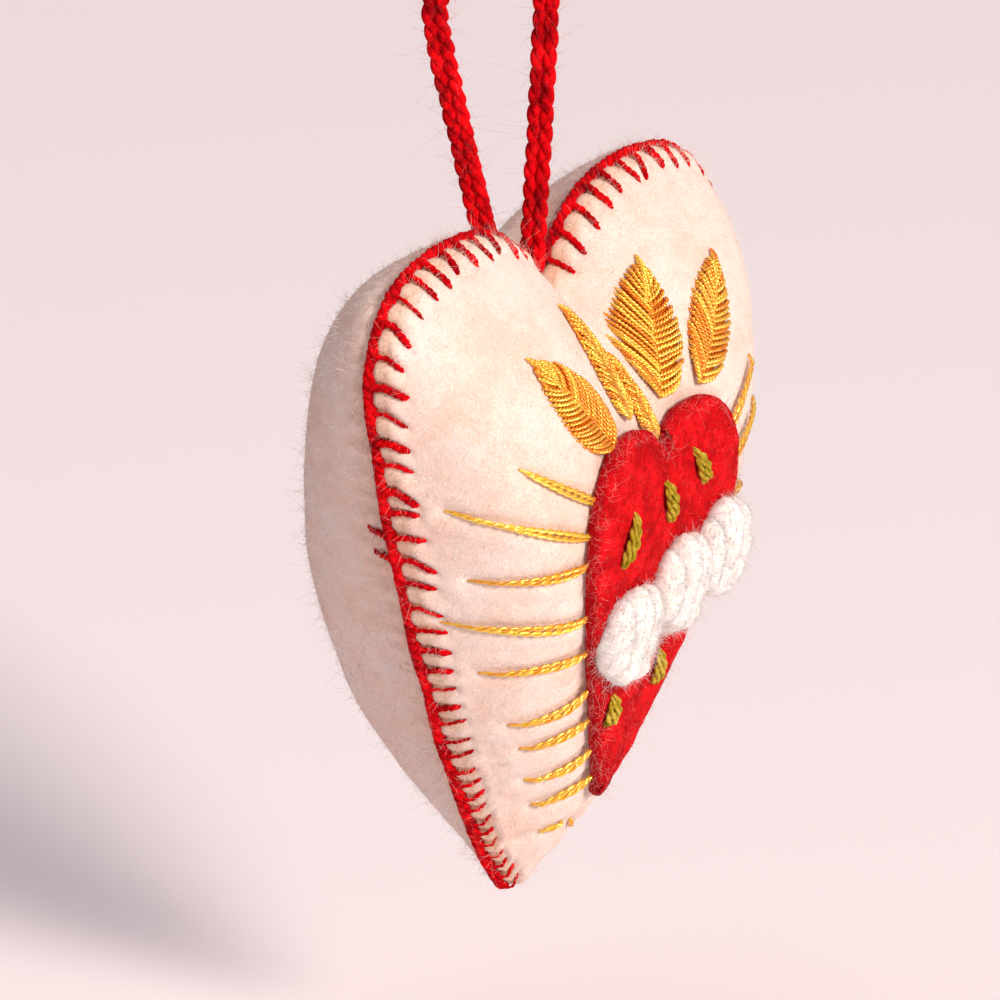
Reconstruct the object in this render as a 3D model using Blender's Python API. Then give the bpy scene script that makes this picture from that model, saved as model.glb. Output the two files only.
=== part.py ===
"""Embroidered felt heart ornament that hangs by a crocheted loop.

Two stuffed felt sides meet in a flat seam, whipped together by a blanket stitch. The front
carries a small felt heart with three wool roses, gold leaves above it and gold rays beside it.
Metres, +Z up, the front faces -Y. The origin is the underside of the loop's top, where a hook
or a twig carries the ornament.
"""

import math

import bmesh
import bpy
from mathutils import Vector

MM = 0.001

# Heart outline: the height runs from the tip to the tops of the lobes
HEART_HEIGHT = 97.8 * MM
HALF_WIDTH = 45.3 * MM
HEART_X = 2.0 * MM
SEAM_Y = -7.2 * MM
TIP_BELOW_HANG = 136.4 * MM

# Stuffed sides: fullness is the height of each side over its own cut edge, and the softening
# is the angle in radians over which the creases at cleft and tip melt into the middle
FELT_THICKNESS = 1.6 * MM
FRONT_FULLNESS = 16.1 * MM
BACK_FULLNESS = 19.2 * MM
CREASE_SOFTENING = 0.6
PIECE_GAP = 0.3 * MM

# Blanket stitch along the seam
EDGE_YARN = 1.7 * MM
LEG_WIDTH = 1.1 * MM
LEG_THICKNESS = 0.9 * MM
LEG_REACH = 3.4 * MM
LEG_PITCH = 4.3 * MM
CLEFT_OPENING = 2.9 * MM

# Embroidery pattern: drawn in millimetres from the tip, on a heart of this height and half width,
# and stretched to the real one. It sits a little left of the middle.
PATTERN_HEIGHT = 97.8
PATTERN_HALF_WIDTH = 45.3
PATTERN_SHIFT = -1.8 * MM

# Felt heart sewn on the front: its outline is part of the pattern
APPLIQUE_THICKNESS = 1.8 * MM
APPLIQUE_HALF_WIDTH = 19.6
APPLIQUE_TIP = 16.4
APPLIQUE_CLEFT = 66.0
APPLIQUE_TOP = 71.6

# Gold thread
LEAF_THICKNESS = 1.1 * MM
LEAF_NOTCHES = 6
RAY_WIDTH = 1.5 * MM
RAY_THICKNESS = 0.9 * MM
RAY_GAP = 1.0 * MM

# Wool roses and their leaves: the roses' outline is part of the pattern
ON_APPLIQUE_GAP = 0.5 * MM
ROSE_THICKNESS = 4.2 * MM
ROSE_HALF_WIDTH = 5.2
ROSE_HALF_HEIGHT = 8.0
ROSE_PETALS = 5
GREEN_WIDTH = 3.0 * MM
GREEN_THICKNESS = 1.3 * MM

# Crocheted loop
CORD_DIAMETER = 3.5 * MM

# Gold leaves of the pattern: base x and z, tip x and z, width
GOLD_LEAVES = (
    (-13.2, 70.8, -25.8, 84.9, 8.6),
    (-6.6, 72.4, -10.8, 87.6, 5.2),
    (-0.2, 68.2, -3.2, 79.4, 4.2),
    (4.6, 72.2, 13.3, 88.3, 8.2),
    (12.6, 72.6, 27.8, 86.3, 7.8),
)

# Gold rays of one side of the pattern: height where the ray meets the small heart, rise angle, length
GOLD_RAYS = (
    (65.3, 29, 13.4),
    (60.2, 19, 15.9),
    (55.6, -7, 10.3),
    (47.5, -3, 10.4),
    (41.5, -18, 8.2),
    (34.4, -38, 7.0),
    (29.4, -32, 6.4),
    (23.8, -36, 6.2),
    (18.9, -38, 5.6),
    (11.5, -36, 4.3),
)

# Roses of the pattern: x and z of the middle. Green leaves: root x and z, tip x and z
ROSES = ((-9.2, 45.1), (2.4, 48.6), (13.6, 50.9))
GREEN_LEAVES = (
    (-13.4, 54.6, -11.1, 61.9),
    (-1.2, 57.6, -2.4, 63.2),
    (8.9, 60.6, 6.3, 65.0),
    (-7.4, 35.3, -6.0, 30.4),
    (3.4, 38.8, 4.4, 33.2),
)

# Route of the loop from the seam to the hook and back, from the heart's tip in millimetres
LOOP_ROUTE = (
    (0.0, 0.0, 87.8),
    (0.6, 0.3, 91.9),
    (2.0, 0.9, 100.9),
    (3.9, 1.8, 110.9),
    (5.9, 2.8, 120.9),
    (6.6, 3.4, 126.9),
    (5.0, 4.2, 133.4),
    (-2.0, 7.2, 138.15),
    (-9.0, 10.2, 133.4),
    (-10.6, 11.2, 126.9),
    (-9.3, 10.9, 120.9),
    (-6.7, 9.4, 110.9),
    (-4.1, 7.8, 100.9),
    (-1.7, 6.3, 91.9),
    (-0.5, 5.3, 87.1),
)


# Outlines


def bezier(start, leave, arrive, end, count):
    """Points of a cubic curve, without its last one."""
    points = []
    for step in range(count):
        t = step / count
        a, b, c, d = (1 - t) ** 3, 3 * t * (1 - t) ** 2, 3 * t * t * (1 - t), t ** 3
        points.append((a * start[0] + b * leave[0] + c * arrive[0] + d * end[0],
                       a * start[1] + b * leave[1] + c * arrive[1] + d * end[1]))
    return points


def mirrored(half):
    """Closes a right half, which runs from the cleft to the tip, into a whole outline."""
    tip = half[-1]
    return half[:-1] + [tip] + [(-x, z) for x, z in reversed(half[1:-1])]


def heart_outline(per_stretch):
    """The seam, from the cleft over the right lobe to the tip and back."""
    w, h = HALF_WIDTH, HEART_HEIGHT
    cleft, top, side, toe = (0, 0.84 * h), (0.515 * w, h), (w, 0.867 * h), (0.06 * w, 0.024 * h)
    half = bezier(cleft, (0.09 * w, 0.953 * h), (0.295 * w, h), top, per_stretch)
    half += bezier(top, (0.772 * w, h), (w, 0.978 * h), side, per_stretch)
    half += bezier(side, (w, 0.764 * h), (0.475 * w, 0.223 * h), toe, 2 * per_stretch)
    half += bezier(toe, (0.032 * w, 0.009 * h), (0.02 * w, 0), (0, 0), max(2, per_stretch // 4))
    return mirrored(half + [(0, 0)])


def pattern_size(length):
    """A width or length of the embroidery pattern at the heart's real size."""
    return length / PATTERN_HALF_WIDTH * HALF_WIDTH


def on_pattern(x, z):
    """A point of the embroidery pattern at the heart's real size."""
    return Vector((pattern_size(x) + PATTERN_SHIFT, z / PATTERN_HEIGHT * HEART_HEIGHT))


def applique_outline(per_stretch):
    """The small heart's edge in the pattern, in the same order as the seam."""
    w, tip, top = APPLIQUE_HALF_WIDTH, APPLIQUE_TIP, APPLIQUE_TOP
    h = top - tip
    crown, side = (0.53 * w, top), (w, top - 0.2 * h)
    half = bezier((0, APPLIQUE_CLEFT), (0.1 * w, top - 0.03 * h), (0.28 * w, top), crown, per_stretch)
    half += bezier(crown, (0.8 * w, top), (w, top - 0.08 * h), side, per_stretch)
    half += bezier(side, (w, top - 0.48 * h), (0.32 * w, tip + 0.2 * h), (0, tip), 2 * per_stretch)
    return mirrored(half + [(0, tip)])


# The stuffed faces


class Side:
    """Height of a stuffed side over its cut edge, as a smooth function of x and z."""

    def __init__(self, sign, fullness, centre, crown, end_power, flank_power, lean):
        self.sign = sign
        self.fullness = fullness
        self.centre = centre
        self.crown = crown
        self.end_power = end_power
        self.flank_power = flank_power
        self.lean = lean
        self.bearings = sorted(
            (math.atan2(x, z - centre), math.hypot(x, z - centre)) for x, z in heart_outline(24))

    def seam_distance(self, bearing):
        """Distance from the centre to the seam in one direction."""
        table = self.bearings
        bearing = (bearing + math.pi) % (2 * math.pi) - math.pi
        if bearing <= table[0][0] or bearing >= table[-1][0]:
            return table[0][1]
        low, high = 0, len(table) - 1
        while high - low > 1:
            middle = (low + high) // 2
            if table[middle][0] <= bearing:
                low = middle
            else:
                high = middle
        (a, near), (b, far) = table[low], table[high]
        return near + (far - near) * (bearing - a) / (b - a)

    def reach(self, x, z, bearing):
        """Share of the way to the seam; away from the seam, cleft and tip are softened."""
        distance = math.hypot(x, z - self.centre)
        spread = CREASE_SOFTENING * max(0.0, 1 - distance / self.seam_distance(bearing))
        mean = sum(weight * self.seam_distance(bearing + turn * spread)
                   for turn, weight in ((-1, 0.15), (-0.5, 0.22), (0, 0.26), (0.5, 0.22), (1, 0.15)))
        return min(distance / mean, 1.0)

    def height(self, x, z):
        bearing = math.atan2(x, z - self.centre)
        reach = self.reach(x, z, bearing)
        flank = math.sin(bearing) ** 2
        power = self.end_power + (self.flank_power - self.end_power) * flank
        dome = max(1 - reach ** self.crown, 0.0) ** (1 / power)
        rise = max(-1.0, min(1.0, (z - self.centre) / (0.5 * HEART_HEIGHT)))
        return self.fullness * dome * (1 + self.lean * math.sin(0.5 * math.pi * rise))

    def y(self, x, z):
        return self.sign * (PIECE_GAP / 2 + FELT_THICKNESS + self.height(x, z))

    def on_face(self, x, z, lift):
        """A point that floats a given distance above the cloth, square to it."""
        step = 0.2 * MM
        slope_x = (self.y(x + step, z) - self.y(x - step, z)) / (2 * step)
        slope_z = (self.y(x, z + step) - self.y(x, z - step)) / (2 * step)
        out = Vector((-slope_x, 1, -slope_z)) * self.sign
        return Vector((x, self.y(x, z), z)) + out.normalized() * lift


def make_front():
    return Side(-1, FRONT_FULLNESS, 0.325 * HEART_HEIGHT, 3.76, 1.0, 1.58, 0.428)


def make_back():
    return Side(1, BACK_FULLNESS, 0.647 * HEART_HEIGHT, 4.96, 0.7, 2.02, -0.391)


def placed(point):
    """From the heart's own frame, with its tip at zero, to the part's frame."""
    return Vector((point[0] + HEART_X, point[1] + SEAM_Y, point[2] - TIP_BELOW_HANG))


# Building


def material(name, colour, roughness):
    made = bpy.data.materials.get(name) or bpy.data.materials.new(name)
    made.use_nodes = True
    shader = made.node_tree.nodes["Principled BSDF"]
    shader.inputs["Base Color"].default_value = (*colour, 1)
    shader.inputs["Roughness"].default_value = roughness
    shader.inputs["Metallic"].default_value = 0.0
    made.diffuse_color = (*colour, 1)
    return made


def finish(name, mesh_data, made_of):
    mesh = bpy.data.meshes.new(name)
    bmesh.ops.recalc_face_normals(mesh_data, faces=mesh_data.faces)
    mesh_data.to_mesh(mesh)
    mesh_data.free()
    mesh.shade_smooth()
    mesh.set_sharp_from_angle(angle=math.radians(50))
    mesh.materials.append(made_of)
    thing = bpy.data.objects.new(name, mesh)
    bpy.context.scene.collection.objects.link(thing)
    return thing


def grow(bm, face, ring, keep=False):
    """Extrudes a face and moves its corners on to the next ring."""
    grown = bmesh.ops.extrude_face_region(bm, geom=[face])["geom"]
    new_face = next(item for item in grown if isinstance(item, bmesh.types.BMFace))
    if not keep:
        bmesh.ops.delete(bm, geom=[face], context="FACES_ONLY")
    for vert, point in zip(new_face.verts, ring):
        vert.co = placed(point)
    return new_face


def loft_rows(rings):
    """One closed body through rings of equal count: its mesh, its corners by ring, its ends."""
    bm = bmesh.new()
    rows = [[bm.verts.new(placed(point)) for point in rings[0]]]
    first = bm.faces.new(rows[0])
    last = grow(bm, first, rings[1], keep=True)
    rows.append(list(last.verts))
    for ring in rings[2:]:
        last = grow(bm, last, ring)
        rows.append(list(last.verts))
    return bm, rows, (first, last)


def loft(rings, first_middle=None, last_middle=None):
    """A lofted body, each end flat or raised to a middle point."""
    bm, _, ends = loft_rows(rings)
    for face, middle in zip(ends, (first_middle, last_middle)):
        if middle is not None:
            poked = bmesh.ops.poke(bm, faces=[face])
            poked["verts"][0].co = placed(middle)
    return bm


# Felt sides


def felt_side(name, side, made_of):
    """A flat mating face, a cut edge as thick as the felt, and the stuffed dome."""
    outline = heart_outline(7)
    mate, rim = side.sign * PIECE_GAP / 2, side.sign * (PIECE_GAP / 2 + FELT_THICKNESS)
    rings = [[(x, mate, z) for x, z in outline], [(x, rim, z) for x, z in outline]]
    for share in (0.985, 0.95, 0.89, 0.8, 0.68, 0.53, 0.36, 0.18):
        ring = []
        for x, z in outline:
            at_x, at_z = share * x, side.centre + share * (z - side.centre)
            ring.append((at_x, side.y(at_x, at_z), at_z))
        rings.append(ring)
    middle = (0, side.y(0, side.centre), side.centre)
    return finish(name, loft(rings, (0, mate, side.centre), middle), made_of)


# Blanket stitch


def seam_stations():
    """Even steps along the seam from one side of the cleft to the other, with outward normals."""
    fine = heart_outline(60)
    start = next(i for i, point in enumerate(fine) if point[0] > CLEFT_OPENING)
    line = fine[start:len(fine) - start + 1]
    travelled = [0.0]
    for a, b in zip(line, line[1:]):
        travelled.append(travelled[-1] + math.dist(a, b))
    count = 2 * round((travelled[-1] / LEG_PITCH - 1) / 2) + 1
    stations = []
    for index in range(count):
        for shift in (-LEG_WIDTH / 2, LEG_WIDTH / 2):
            along = (index + 0.5) * travelled[-1] / count + shift
            at = next(i for i, so_far in enumerate(travelled) if so_far >= along)
            share = (along - travelled[at - 1]) / (travelled[at] - travelled[at - 1])
            a, b = Vector((*line[at - 1], 0)), Vector((*line[at], 0))
            run = (b - a).normalized()
            stations.append((a.lerp(b, share), Vector((-run.y, run.x, 0))))
    return stations


def section_of(side, seam_point, outward):
    """The cloth's cross-section inward from a seam point: distance along it, point, lean."""
    travelled, last, section = 0.0, None, []
    for step in range(40):
        inset = 0.25 * MM * step
        x, z = seam_point.x - outward.x * inset, seam_point.y - outward.y * inset
        here = Vector((inset, side.y(x, z)))
        if last is not None:
            travelled += (here - last).length
        section.append((travelled, x, z))
        last = here
    return section


def leg_ring(side, seam_point, outward, along, lift):
    """Where a stitch's leg passes, above the cloth and some distance in from the edge."""
    section = section_of(side, seam_point, outward)
    at = next(i for i, row in enumerate(section) if row[0] >= along)
    share = (along - section[at - 1][0]) / (section[at][0] - section[at - 1][0])
    x = section[at - 1][1] + share * (section[at][1] - section[at - 1][1])
    z = section[at - 1][2] + share * (section[at][2] - section[at - 1][2])
    return side.on_face(x, z, lift)


def edge_stitching(side, made_of):
    """The yarn ridge along the seam, with a leg drawn over the front's cut edge at each stitch."""
    radius, sides = EDGE_YARN / 2, 6
    centre_out = radius + PIECE_GAP
    stations = seam_stations()
    rings = []
    for seam_point, outward in stations:
        ring = []
        for corner in range(sides):
            turn = 2 * math.pi * corner / sides
            out = centre_out + radius * math.cos(turn)
            ring.append((seam_point.x + outward.x * out, -radius * math.sin(turn),
                         seam_point.y + outward.y * out))
        rings.append(ring)
    bm, rows, _ = loft_rows(rings)
    rim = side.y(0, 0)
    for index in range(0, len(stations), 2):
        before, after = rows[index], rows[index + 1]
        corners = (before[1], before[2], after[2], after[1])
        face = bm.faces.get(corners)
        order = [list(face.verts).index(corner) for corner in corners]
        steps = [rim_step(stations[index:index + 2], rim)]
        for along in (0.45 * LEG_REACH, LEG_REACH):
            step = []
            for (seam_point, outward), high_first in zip(stations[index:index + 2], (True, False)):
                low = leg_ring(side, seam_point, outward, along, PIECE_GAP)
                high = leg_ring(side, seam_point, outward, along, PIECE_GAP + LEG_THICKNESS)
                step += [high, low] if high_first else [low, high]
            steps.append(step)
        for step in steps:
            ring = [None] * 4
            for slot, point in zip(order, step):
                ring[slot] = point
            face = grow(bm, face, ring)
    return finish("edge_stitching", bm, made_of)


def rim_step(pair, rim):
    """The leg's four corners where it turns over the cut edge."""
    (first, first_out), (second, second_out) = pair
    out_high, y_high = PIECE_GAP + LEG_THICKNESS, rim - 0.35 * LEG_THICKNESS
    out_low, y_low = PIECE_GAP, rim + 0.2 * LEG_THICKNESS
    return [
        (first.x + first_out.x * out_high, y_high, first.y + first_out.y * out_high),
        (first.x + first_out.x * out_low, y_low, first.y + first_out.y * out_low),
        (second.x + second_out.x * out_low, y_low, second.y + second_out.y * out_low),
        (second.x + second_out.x * out_high, y_high, second.y + second_out.y * out_high),
    ]


# Pieces sewn on the face


def applique(side, made_of):
    """The small felt heart: it follows the face, with an upright cut edge and a rounded rim."""
    outline = applique_outline(5)
    centre = 0.5 * (APPLIQUE_TIP + APPLIQUE_TOP)

    def ring(share, lift):
        points = []
        for x, z in outline:
            spot = on_pattern(share * x, centre + share * (z - centre))
            points.append(side.on_face(spot.x, spot.y, lift))
        return points

    low, high = PIECE_GAP, PIECE_GAP + APPLIQUE_THICKNESS
    rings = [ring(share, low) for share in (0.25, 0.5, 0.75, 1.0)]
    rings += [ring(1.0, high - 0.3 * APPLIQUE_THICKNESS), ring(0.96, high)]
    rings += [ring(share, high) for share in (0.75, 0.5, 0.25)]
    middle = on_pattern(0, centre)
    middle_low = side.on_face(middle.x, middle.y, low)
    middle_high = side.on_face(middle.x, middle.y, high)
    return finish("heart_applique", loft(rings, middle_low, middle_high), made_of)


def leaf(name, side, root, tip, width, thickness, low, notches, made_of):
    """A pointed leaf laid on the cloth: two raised halves beside a midrib, with notched edges."""
    run = tip - root
    across = Vector((run.y, -run.x)).normalized()
    steps = 2 * notches
    rings = []
    for step in range(steps + 1):
        share = 0.04 + 0.92 * step / steps
        bulge = math.sin(math.pi * share ** 0.85) ** 0.75
        notch = 1.0 if step % 2 else 0.84
        half = 0.5 * width * max(bulge * notch, 0.12)
        at = root + run * share
        ring = []
        for place, lift in ((-1, 0), (0, 0), (1, 0), (0.95, 0.45), (0.45, 1), (0, 0.7),
                            (-0.45, 1), (-0.95, 0.45)):
            spot = at + across * (place * half)
            ring.append(side.on_face(spot.x, spot.y, low + lift * thickness))
        rings.append(ring)
    return finish(name, loft(rings), made_of)


def ray(name, side, start, end, made_of):
    """A long stitch of doubled thread, thin at both ends."""
    run = end - start
    across = Vector((run.y, -run.x)).normalized()
    rings = []
    for share in (0.0, 0.12, 0.4, 0.7, 1.0):
        taper = (0.35, 0.85, 1.0, 0.8, 0.3)[len(rings)]
        at = start + run * share
        ring = []
        for place, lift in ((-0.8, 0), (0.8, 0), (1, 0.5), (0, 1), (-1, 0.5)):
            spot = at + across * (0.5 * RAY_WIDTH * place * taper)
            ring.append(side.on_face(spot.x, spot.y, PIECE_GAP + lift * RAY_THICKNESS * taper))
        rings.append(ring)
    return finish(name, loft(rings), made_of)


def rose(name, side, x, z, made_of):
    """A coiled wool rose: a ring of rolls round a raised bud."""
    low = PIECE_GAP + APPLIQUE_THICKNESS + ON_APPLIQUE_GAP
    sectors = 4 * ROSE_PETALS
    middle = on_pattern(x, z)

    def ring(share, lift, scallop):
        points = []
        for index in range(sectors):
            turn = 2 * math.pi * index / sectors
            reach = share * (1 + scallop * math.cos(ROSE_PETALS * turn))
            spot = on_pattern(x + ROSE_HALF_WIDTH * reach * math.cos(turn),
                              z + ROSE_HALF_HEIGHT * reach * math.sin(turn))
            points.append(side.on_face(spot.x, spot.y, low + lift * ROSE_THICKNESS))
        return points

    rings = [ring(0.5, 0, 0), ring(0.86, 0, 0.04), ring(0.96, 0.35, 0.04), ring(0.86, 0.7, 0.04),
             ring(0.68, 0.82, 0.03), ring(0.52, 0.66, 0), ring(0.38, 0.95, 0)]
    bottom = side.on_face(middle.x, middle.y, low)
    top = side.on_face(middle.x, middle.y, low + ROSE_THICKNESS)
    return finish(name, loft(rings, bottom, top), made_of)


def applique_edge(height):
    """Half width of the small heart at a height of the pattern, and none below its tip."""
    outline = applique_outline(12)
    right = outline[:len(outline) // 2 + 1]
    for (x0, z0), (x1, z1) in zip(reversed(right), reversed(right[:-1])):
        if z0 <= height <= z1:
            return x0 + (x1 - x0) * (height - z0) / (z1 - z0)
    return 0.0


def gold_rays(side, made_of):
    """Rays that leave the small heart on both sides and grow shorter towards the tip."""
    for number, (height, rise, length) in enumerate(GOLD_RAYS, 1):
        rise = math.radians(rise)
        for word, hand in (("left", -1), ("right", 1)):
            run = Vector((hand * math.cos(rise), math.sin(rise)))
            start = on_pattern(hand * applique_edge(height), height) + Vector((hand * RAY_GAP, 0))
            ray(f"gold_ray_{word}_{number}", side, start, start + run * pattern_size(length), made_of)


# Hanging loop


def smooth_route(points, spacing):
    """Even points on the smooth curve through a hand-chosen route."""
    padded = [2 * points[0] - points[1]] + points + [2 * points[-1] - points[-2]]
    dense = []
    for a, b, c, d in zip(padded, padded[1:], padded[2:], padded[3:]):
        for step in range(20):
            t = step / 20
            dense.append(0.5 * ((2 * b) + (c - a) * t + (2 * a - 5 * b + 4 * c - d) * t * t
                                + (3 * b - a - 3 * c + d) * t ** 3))
    dense.append(points[-1])
    travelled = [0.0]
    for a, b in zip(dense, dense[1:]):
        travelled.append(travelled[-1] + (b - a).length)
    count = round(travelled[-1] / spacing)
    even = []
    for index in range(count + 1):
        along = travelled[-1] * index / count
        at = max(1, next(i for i, so_far in enumerate(travelled) if so_far >= along - 1e-9))
        share = (along - travelled[at - 1]) / (travelled[at] - travelled[at - 1])
        even.append(dense[at - 1].lerp(dense[at], share))
    return even


def hanging_cord(made_of):
    """The loop's cord, from the seam in the cleft over the hook and back behind it."""
    route = [placed(Vector(point) * MM) for point in LOOP_ROUTE]
    curve = bpy.data.curves.new("hanging_cord", "CURVE")
    curve.dimensions = "3D"
    curve.bevel_depth = CORD_DIAMETER / 2
    curve.bevel_resolution = 2
    curve.use_fill_caps = True
    points = smooth_route(route, 2 * CORD_DIAMETER)
    spline = curve.splines.new("POLY")
    spline.points.add(len(points) - 1)
    for target, point in zip(spline.points, points):
        target.co = (*point, 1)
    curve.materials.append(made_of)
    thing = bpy.data.objects.new("hanging_cord", curve)
    bpy.context.scene.collection.objects.link(thing)
    return thing


def build():
    for thing in list(bpy.data.objects):
        bpy.data.objects.remove(thing, do_unlink=True)
    cream = material("cream wool felt", (0.83, 0.74, 0.64), 0.95)
    red_felt = material("red wool felt", (0.55, 0.01, 0.02), 0.95)
    red_yarn = material("red wool yarn", (0.5, 0.01, 0.02), 0.9)
    gold = material("gold rayon thread", (0.85, 0.5, 0.06), 0.4)
    white = material("white wool yarn", (0.86, 0.83, 0.8), 0.9)
    olive = material("olive wool yarn", (0.3, 0.26, 0.05), 0.9)
    front, back = make_front(), make_back()
    felt_side("felt_front", front, cream)
    felt_side("felt_back", back, cream)
    edge_stitching(front, red_yarn)
    applique(front, red_felt)
    for number, (x0, z0, x1, z1, width) in enumerate(GOLD_LEAVES, 1):
        leaf(f"gold_leaf_{number}", front, on_pattern(x0, z0), on_pattern(x1, z1),
             pattern_size(width), LEAF_THICKNESS, PIECE_GAP, LEAF_NOTCHES, gold)
    gold_rays(front, gold)
    for number, (x, z) in enumerate(ROSES, 1):
        rose(f"white_rose_{number}", front, x, z, white)
    on_applique = PIECE_GAP + APPLIQUE_THICKNESS + ON_APPLIQUE_GAP
    for number, (x0, z0, x1, z1) in enumerate(GREEN_LEAVES, 1):
        leaf(f"green_leaf_{number}", front, on_pattern(x0, z0), on_pattern(x1, z1), GREEN_WIDTH,
             GREEN_THICKNESS, on_applique, 2, olive)
    hanging_cord(red_yarn)


build()
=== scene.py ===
"""Looks of the embroidered felt heart: felt, yarn, gold thread, wool roses and loose fibres.

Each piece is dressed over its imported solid. Work is done in the heart's own frame, with x to the
right, y to the back and z up from the tip, and moved to the frame's place when a mesh is made.
Metres throughout.
"""

import math

import bmesh
import bpy
import numpy as np
from mathutils import Matrix, Vector, noise
from numpy.linalg import norm, svd
from numpy.random import default_rng


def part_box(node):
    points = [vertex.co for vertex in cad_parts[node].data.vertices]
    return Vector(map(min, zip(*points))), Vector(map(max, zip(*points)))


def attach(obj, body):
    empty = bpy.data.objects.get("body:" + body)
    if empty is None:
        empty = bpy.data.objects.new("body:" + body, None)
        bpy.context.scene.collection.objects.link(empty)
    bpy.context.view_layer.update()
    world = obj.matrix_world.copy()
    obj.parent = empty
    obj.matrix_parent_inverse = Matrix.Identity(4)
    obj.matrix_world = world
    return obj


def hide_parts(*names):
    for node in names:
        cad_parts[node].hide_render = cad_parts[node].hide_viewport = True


MM = 0.001

# Photograph's view: turn about the vertical, look down and roll in degrees
VIEW_TURN = 62.4
VIEW_DOWN = 18.3
VIEW_ROLL = 2.66
VIEW_DISTANCE = 2.99
VIEW_AIM = (-4.65 * MM, -7.2 * MM, -79.45 * MM)
LENS = 790.1

# Felt
FELT_THICKNESS = 1.6 * MM
PIECE_GAP = 0.3 * MM
CREASE_SOFTENING = 0.6
SEAM_POINTS = 2000
SEAM_COLUMNS = 600
DOME_RINGS = 84
BLOCK_PUFF = 0.72 * MM
LEG_GROOVE = 0.22 * MM

# Blanket stitch: the pitch closes up towards the tip, and two catches show at shares of the height
STITCH_PITCH = 4.1 * MM
STITCH_PITCH_AT_TIP = 2.6 * MM
CLEFT_OPENING = 2.9 * MM
CATCH_HEIGHTS = (0.565, 0.64)
RIDGE_OUT = 0.3 * MM
RIDGE_BACK = 0.3 * MM
RIDGE_PLY = 0.5 * MM
LEG_PLY = 0.3 * MM

# Small felt heart. The whole embroidery sits a little left of the middle.
PATTERN_SHIFT = -1.8 * MM
APPLIQUE_THICKNESS = 1.8 * MM
APPLIQUE_HALF_WIDTH = 19.6 * MM
APPLIQUE_TIP = 16.4 * MM
APPLIQUE_CLEFT = 66.0 * MM
APPLIQUE_TOP = 71.6 * MM

# Gold thread
GOLD_PLY = 0.185 * MM
GOLD_TWIST = 1.25 * MM
RAY_PLY = 0.22 * MM
LEAF_STITCHES = 20
LEAF_RISE = 0.8 * MM
RAY_TUCK = 1.1 * MM
FREE_RAY_CUT = 2.2 * MM

# Wool roses and green leaves
# A roll's place across the rose, half length, height and radius, in millimetres
ROSE_ROLLS = ((-3.6, 5.6, 1.0, 2.35), (-1.1, 7.4, 1.5, 2.6),
              (1.6, 7.3, 1.5, 2.6), (3.9, 5.9, 1.0, 2.35))
WRAP_PITCH = 0.55 * MM
GREEN_PLY = 0.3 * MM

# Crocheted loop: pitch of its links, and its route from the heart's tip
CORE_RADIUS = 1.15 * MM
LINK_PITCH = 2.6 * MM
LINK_PLY = 0.57 * MM
LOOP_ROUTE = MM * np.array((
    (0, 0, 87.8), (0.6, 0.3, 91.9), (2, 0.9, 100.9), (3.9, 1.8, 110.9),
    (5.9, 2.8, 120.9), (6.6, 3.4, 126.9), (5, 4.2, 133.4), (-2, 7.2, 138.15),
    (-9, 10.2, 133.4), (-10.6, 11.2, 126.9), (-9.3, 10.9, 120.9), (-6.7, 9.4, 110.9),
    (-4.1, 7.8, 100.9), (-1.7, 6.3, 91.9), (-0.5, 5.3, 87.1)))

# Loose fibres: their numbers, and the share of the height above which the cleft is kept clear
FRONT_NAP, BACK_NAP = 9000, 10000
SEAM_FIBRES = 4000
CLEFT_HEIGHT = 0.8
EDGE_FIBRES = 2600
CORD_FIBRES = 3000
ROSE_FIBRES = 6000
APPLIQUE_EDGE_FIBRES, APPLIQUE_FACE_FIBRES = 1900, 4500

# Stage: light in watts
FLOOR_BELOW_TIP = 30 * MM
KEY_POWER = 132
OVERHEAD_POWER = 22
SURROUND_STRENGTH = 0.21


# Frame


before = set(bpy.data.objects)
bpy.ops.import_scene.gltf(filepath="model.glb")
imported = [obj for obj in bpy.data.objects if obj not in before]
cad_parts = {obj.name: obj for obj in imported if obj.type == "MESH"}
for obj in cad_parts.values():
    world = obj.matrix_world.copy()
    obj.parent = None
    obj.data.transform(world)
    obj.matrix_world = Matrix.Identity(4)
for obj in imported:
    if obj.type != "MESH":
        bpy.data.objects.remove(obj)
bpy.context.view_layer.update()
front_low, front_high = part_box("felt_front")
HEART_HEIGHT = front_high.z - front_low.z
HALF_WIDTH = (front_high.x - front_low.x) / 2
TIP = np.array((front_low.x + HALF_WIDTH, front_high.y + PIECE_GAP / 2, front_low.z))


def node_points(node):
    """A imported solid's corners in the heart's own frame."""
    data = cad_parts[node].data
    flat = np.empty(3 * len(data.vertices))
    data.vertices.foreach_get("co", flat)
    return flat.reshape(-1, 3) - TIP


def long_piece(node):
    """A narrow solid's two ends, seen from the front, the lower one first, and its width."""
    flat = node_points(node)[:, (0, 2)]
    middle = flat.mean(axis=0)
    run = svd(flat - middle, full_matrices=False)[2][0]
    run = run if run[1] > 0 else -run
    along = (flat - middle) @ run
    across = (flat - middle) @ np.array((run[1], -run[0]))
    centre = middle + np.array((run[1], -run[0])) * (across.max() + across.min()) / 2
    return centre + run * along.min(), centre + run * along.max(), np.ptp(across)


# Curves and outlines


def bezier(start, leave, arrive, end, count):
    t = np.arange(count)[:, None] / count
    weights = np.hstack(((1 - t) ** 3, 3 * t * (1 - t) ** 2, 3 * t * t * (1 - t), t ** 3))
    return weights @ np.array((start, leave, arrive, end), dtype=float)


def mirrored(half):
    """Closes a right half, which runs from the cleft to the tip, into a whole outline."""
    left = half[1:-1][::-1] * (-1, 1)
    return np.vstack((half, left))


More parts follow.
